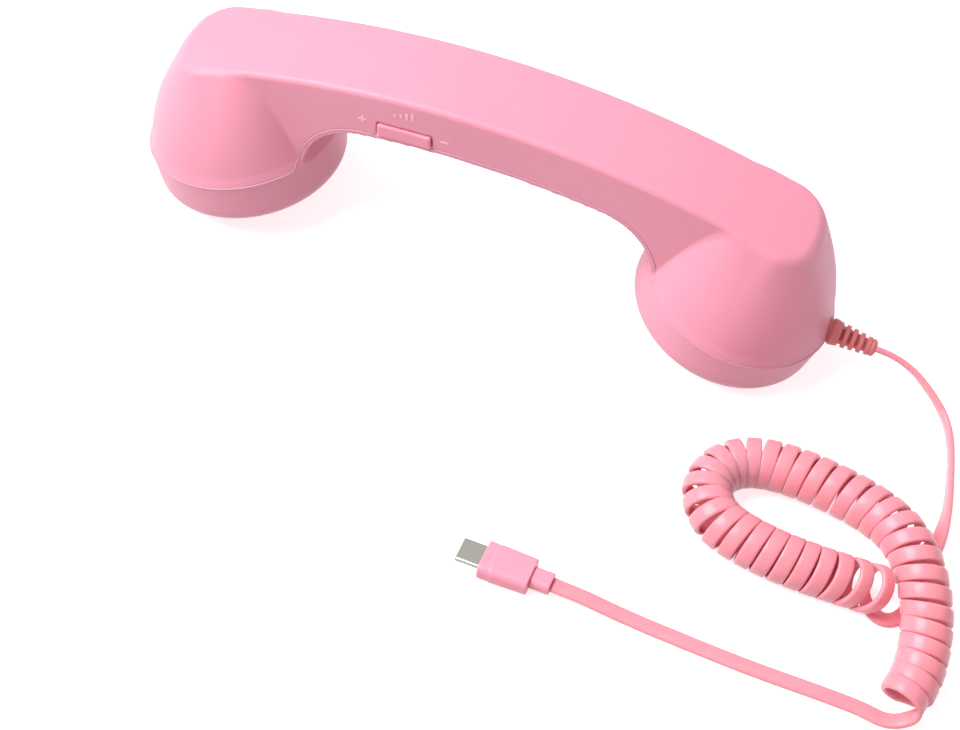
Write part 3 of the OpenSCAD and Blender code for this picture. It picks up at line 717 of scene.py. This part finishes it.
def seam_bead(name):
    """The fine bead along the seam between the shells, half sunk in them."""
    sides = BEAD_SIDES
    points, faces = [], []
    for line in seam_runs():
        along = unit(np.gradient(line, axis=0))
        out = unit(gradient(handset, line))
        across = np.cross(along, out)
        first = len(points) * sides
        for i, centre in enumerate(line):
            # thinner at the two ends of a run
            size = BEAD_R * min(1, 0.3 + 0.4 * min(i, len(line) - 1 - i))
            angles = [2 * math.pi * k / sides for k in range(sides)]
            points.append([
                centre + size * math.cos(a) * across[i] + (size * math.sin(a) - BEAD_SINK) * out[i]
                for a in angles
            ])
        faces += [
            (first + i * sides + j, first + i * sides + (j + 1) % sides,
             first + (i + 1) * sides + (j + 1) % sides, first + (i + 1) * sides + j)
            for i in range(len(line) - 1)
            for j in range(sides)
        ]
        last = first + (len(line) - 1) * sides
        faces += [tuple(range(first, first + sides))[::-1], tuple(range(last, last + sides))]
    mesh = bpy.data.meshes.new(name)
    mesh.from_pydata((np.array(points).reshape(-1, 3) * MM).tolist(), [], faces)
    mesh.validate()
    mesh.shade_smooth()
    piece = bpy.data.objects.new(name, mesh)
    bpy.context.scene.collection.objects.link(piece)
    return piece


# ---- Materials ----


def principled(name):
    material = bpy.data.materials.new(name)
    material.use_nodes = True
    return material, material.node_tree, material.node_tree.nodes["Principled BSDF"]


def noise(tree, scale, detail=3.0, stretch=None):
    """A noise pattern in the piece's own space, in features per metre."""
    place = tree.nodes.new("ShaderNodeTexCoord")
    source = place.outputs["Object"]
    if stretch:
        mapping = tree.nodes.new("ShaderNodeMapping")
        mapping.inputs["Scale"].default_value = stretch
        tree.links.new(source, mapping.inputs["Vector"])
        source = mapping.outputs["Vector"]
    pattern = tree.nodes.new("ShaderNodeTexNoise")
    pattern.inputs["Scale"].default_value = scale
    pattern.inputs["Detail"].default_value = detail
    tree.links.new(source, pattern.inputs["Vector"])
    return pattern.outputs["Fac"]


def vary_colour(tree, shader, factor, colour, spread):
    """The base colour, a little lighter and darker along the pattern."""
    ramp = tree.nodes.new("ShaderNodeValToRGB")
    ramp.color_ramp.elements[0].position = 0.3
    ramp.color_ramp.elements[1].position = 0.7
    ramp.color_ramp.elements[0].color = [c * (1 - spread) for c in colour] + [1]
    ramp.color_ramp.elements[1].color = [min(1, c * (1 + spread)) for c in colour] + [1]
    tree.links.new(factor, ramp.inputs["Fac"])
    tree.links.new(ramp.outputs["Color"], shader.inputs["Base Color"])


def vary_roughness(tree, shader, factor, low, high):
    span = tree.nodes.new("ShaderNodeMapRange")
    span.inputs["To Min"].default_value = low
    span.inputs["To Max"].default_value = high
    tree.links.new(factor, span.inputs["Value"])
    tree.links.new(span.outputs["Result"], shader.inputs["Roughness"])


def relief(tree, shader, factor, height):
    """Fine relief, height in metres."""
    bump = tree.nodes.new("ShaderNodeBump")
    bump.inputs["Strength"].default_value = 1.0
    bump.inputs["Distance"].default_value = height
    tree.links.new(factor, bump.inputs["Height"])
    tree.links.new(bump.outputs["Normal"], shader.inputs["Normal"])


def moulded(name, colour, rough=0.42, grain=2600, height=0.000006, spread=0.02, glow=0.0, stretch=None):
    """Moulded plastic or rubber: spark-eroded grain, slightly uneven gloss and colour."""
    material, tree, shader = principled(name)
    vary_colour(tree, shader, noise(tree, 22, 4), colour, spread)
    vary_roughness(tree, shader, noise(tree, 90, 5), rough - 0.05, rough + 0.06)
    relief(tree, shader, noise(tree, grain, 2, stretch), height)
    shader.inputs["IOR"].default_value = 1.46
    shader.inputs["Specular IOR Level"].default_value = 0.4
    if glow:
        shader.inputs["Subsurface Weight"].default_value = glow
        shader.inputs["Subsurface Radius"].default_value = (0.9, 0.35, 0.25)
        shader.inputs["Subsurface Scale"].default_value = 0.0025
    return material


def metal(name, colour, rough=0.3, stretch=(1, 1, 14)):
    """Metal with fine drawn lines."""
    material, tree, shader = principled(name)
    vary_colour(tree, shader, noise(tree, 60, 4), colour, 0.04)
    lines = noise(tree, 900, 3, stretch)
    vary_roughness(tree, shader, lines, rough - 0.08, rough + 0.12)
    relief(tree, shader, lines, 0.000004)
    shader.inputs["Metallic"].default_value = 1.0
    return material


def fibrous(name, colour, scale=1500):
    """Felt or foam: matt, with a coarse tangled surface."""
    material, tree, shader = principled(name)
    tangle = noise(tree, scale, 6)
    vary_colour(tree, shader, tangle, colour, 0.25)
    vary_roughness(tree, shader, tangle, 0.85, 1.0)
    relief(tree, shader, tangle, 0.00012)
    shader.inputs["Sheen Weight"].default_value = 0.3
    return material


def linear(r, g, b):
    """A colour given as a screen shows it, in the shader's own scale."""
    return [c / 12.92 if c <= 0.04045 else ((c + 0.055) / 1.055) ** 2.4 for c in (r, g, b)]


def make_materials():
    """One material for each slot of the record."""
    pink = linear(0.918, 0.592, 0.675)
    return {
        "shell_pink": moulded("shell_pink", pink, 0.45, glow=0.35),
        "key_pink": moulded("key_pink", linear(0.945, 0.59, 0.67), 0.38, glow=0.3),
        "cord_pink": moulded("cord_pink", linear(0.945, 0.585, 0.635), 0.28, 1400, 0.00001, 0.03, 0.5),
        "boot_rose": moulded("boot_rose", linear(0.86, 0.49, 0.50), 0.5, 1800, 0.00001, 0.04, 0.3),
        "plug_pink": moulded("plug_pink", linear(0.96, 0.595, 0.675), 0.4, glow=0.2),
        "nickel": metal("nickel", linear(0.86, 0.85, 0.82), 0.22, (14, 1, 1)),
        "steel": metal("steel", linear(0.72, 0.73, 0.75), 0.35),
        "zinc": metal("zinc", linear(0.80, 0.81, 0.78), 0.4, (1, 1, 1)),
        "aluminium_can": metal("aluminium_can", linear(0.83, 0.84, 0.85), 0.3),
        "black_plastic": moulded("black_plastic", linear(0.09, 0.09, 0.10), 0.5, 1800, 0.00001, 0.1),
        "black_rubber": moulded("black_rubber", linear(0.12, 0.12, 0.125), 0.75, 900, 0.00003, 0.12),
        "ivory_plastic": moulded("ivory_plastic", linear(0.90, 0.87, 0.78), 0.45),
        "circuit_board": moulded("circuit_board", linear(0.07, 0.34, 0.20), 0.3, 500, 0.00002, 0.15),
        "copper": metal("copper", linear(0.82, 0.50, 0.33), 0.3, (1, 1, 30)),
        "foam_tape": fibrous("foam_tape", linear(0.16, 0.16, 0.17), 2200),
        "felt": fibrous("felt", linear(0.30, 0.29, 0.31)),
        "wire_red": moulded("wire_red", linear(0.75, 0.12, 0.12), 0.4, 1200, 0.00002, 0.06),
        "wire_black": moulded("wire_black", linear(0.08, 0.08, 0.09), 0.4, 1200, 0.00002, 0.1),
        "wire_white": moulded("wire_white", linear(0.88, 0.87, 0.85), 0.4, 1200, 0.00002, 0.05),
    }


def dress(piece, materials, slot):
    """Gives a piece the material of its slot."""
    piece.data.materials.clear()
    piece.data.materials.append(materials[slot])


# ---- The pieces ----


def corners(node, spare=0.0):
    """A CAD node's two corners in millimetres, moved out by spare."""
    low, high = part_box(node)
    return [c / MM - spare for c in low], [c / MM + spare for c in high]


def make_cord(materials):
    first = blend_joint(lead(LEAD_HANDSET_ROUTE), curl(COIL_ROUTE), 12)
    line, width = blend_joint(first, lead(LEAD_PLUG_ROUTE), 12)
    flat = np.column_stack([line, width])
    flat = flat[np.concatenate([[True], np.linalg.norm(np.diff(line, axis=0), axis=1) > 0.2])]
    line, width = flat[:, :3], flat[:, 3:]
    for _ in range(3):
        line[:, 2] = np.maximum(line[:, 2], half_height(line, width))
    piece = ribbon("curly_cord", line, width)
    dress(piece, materials, "cord_pink")
    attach(piece, "handset")
    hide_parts("cord_lead_handset", "cord_coil", "cord_lead_plug")
    path = line[::2] if len(line) % 2 else np.vstack([line[::2], line[-1:]])
    length = np.linalg.norm(np.diff(path, axis=0), axis=1).sum()
    return piece, path * MM, float(length) * MM


def make_moulded_pieces(materials):
    plans = [
        ("outer_cover", outer_shell, "outer_shell", "handset", 0.5, "shell_pink"),
        ("inner_cover", inner_shell, "inner_shell", "handset", 0.5, "shell_pink"),
        ("volume_key", volume_rocker, "volume_rocker", "volume_rocker", 0.16, "key_pink"),
        ("call_key", call_button, "call_button", "call_button", 0.16, "key_pink"),
        ("cord_boot", boot, "strain_relief_boot", "handset", 0.18, "boot_rose"),
        ("plug_body", plug_grip, "plug_grip", "handset", 0.22, "plug_pink"),
        ("plug_neck", plug_collar, "plug_collar", "handset", 0.22, "plug_pink"),
    ]
    made = {}
    for name, field, node, body, voxel, slot in plans:
        low, high = corners(node)
        piece = field_mesh(name, field, low, high, voxel)
        dress(piece, materials, slot)
        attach(piece, body)
        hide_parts(node)
        made[name] = piece
    return made


def make_bead(materials):
    piece = seam_bead("seam_bead")
    dress(piece, materials, "shell_pink")
    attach(piece, "handset")


def make_marks():
    low, high = [-37.5, -HANDLE_HALF - 0.3, 49], [-8, -HANDLE_HALF + 0.3, 62]
    piece = field_mesh("key_marks", key_marks, low, high, 0.1)
    piece.data.materials.append(moulded("mark_pink", linear(1.0, 0.71, 0.78), 0.4))
    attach(piece, "handset")


def dress_nodes(materials):
    """Every CAD node that still shows gets its slot's material."""
    for row in frame["record"]["subparts"]:
        node = frame["nodes"][row["node"]]
        node.data.materials.clear()
        node.data.materials.append(materials[row["material_slot"]])


def make_camera():
    """The camera: where it stands in millimetres, its heading, height and roll in degrees."""
    heading, height, roll = math.radians(-14.731), math.radians(50.485), math.radians(7.066)
    ahead = Vector(
        (math.sin(heading) * math.cos(height), math.cos(heading) * math.cos(height), -math.sin(height))
    )
    level = Vector((math.cos(heading), -math.sin(heading), 0))
    above = level.cross(ahead)
    right = level * math.cos(roll) + above * math.sin(roll)
    up = above * math.cos(roll) - level * math.sin(roll)
    data = bpy.data.cameras.new("camera")
    data.sensor_width = 36
    data.lens = 102.91
    data.clip_start, data.clip_end = 0.01, 10
    camera = bpy.data.objects.new("camera", data)
    bpy.context.scene.collection.objects.link(camera)
    turn = Matrix((right, up, -ahead)).transposed().to_4x4()
    camera.matrix_world = Matrix.Translation(Vector((138.94, -516.52, 595.3)) * MM) @ turn
    bpy.context.scene.camera = camera


def make_floor():
    mesh = bpy.data.meshes.new("floor")
    half = 3.0
    corner_points = [(-half, -half, 0), (half, -half, 0), (half, half, 0), (-half, half, 0)]
    mesh.from_pydata(corner_points, [], [(0, 1, 2, 3)])
    floor = bpy.data.objects.new("floor", mesh)
    bpy.context.scene.collection.objects.link(floor)
    floor.location.z = -0.0002
    white = moulded("floor_white", [0.86, 0.86, 0.86], 0.7, 300, 0.00001, 0.005)
    shader = white.node_tree.nodes["Principled BSDF"]
    shader.inputs["Emission Color"].default_value = (1, 1, 1, 1)
    shader.inputs["Emission Strength"].default_value = 0.6
    mesh.materials.append(white)
    floor.visible_diffuse = False


def make_light(name, place, aim, size, power):
    data = bpy.data.lights.new(name, "AREA")
    data.shape = "DISK"
    data.size = size
    data.energy = power
    lamp = bpy.data.objects.new(name, data)
    bpy.context.scene.collection.objects.link(lamp)
    lamp.location = place
    lamp.rotation_mode = "QUATERNION"
    lamp.rotation_quaternion = (Vector(aim) - Vector(place)).to_track_quat("-Z", "Y")


def make_lights():
    middle = (0.03, -0.03, 0.02)
    make_light("key_light", (-0.85, -0.35, 1.32), middle, 1.2, 34)
    world = bpy.data.worlds.new("studio")
    world.use_nodes = True
    sky = world.node_tree.nodes["Background"]
    sky.inputs["Color"].default_value = (1, 1, 1, 1)
    sky.inputs["Strength"].default_value = 0.57
    bpy.context.scene.world = world
    bpy.context.scene.view_settings.view_transform = "Standard"


make_camera()
materials = make_materials()
dress_nodes(materials)
cord, cord_path, cord_length = make_cord(materials)
moulded_pieces = make_moulded_pieces(materials)
make_bead(materials)
make_marks()
make_floor()
make_lights()
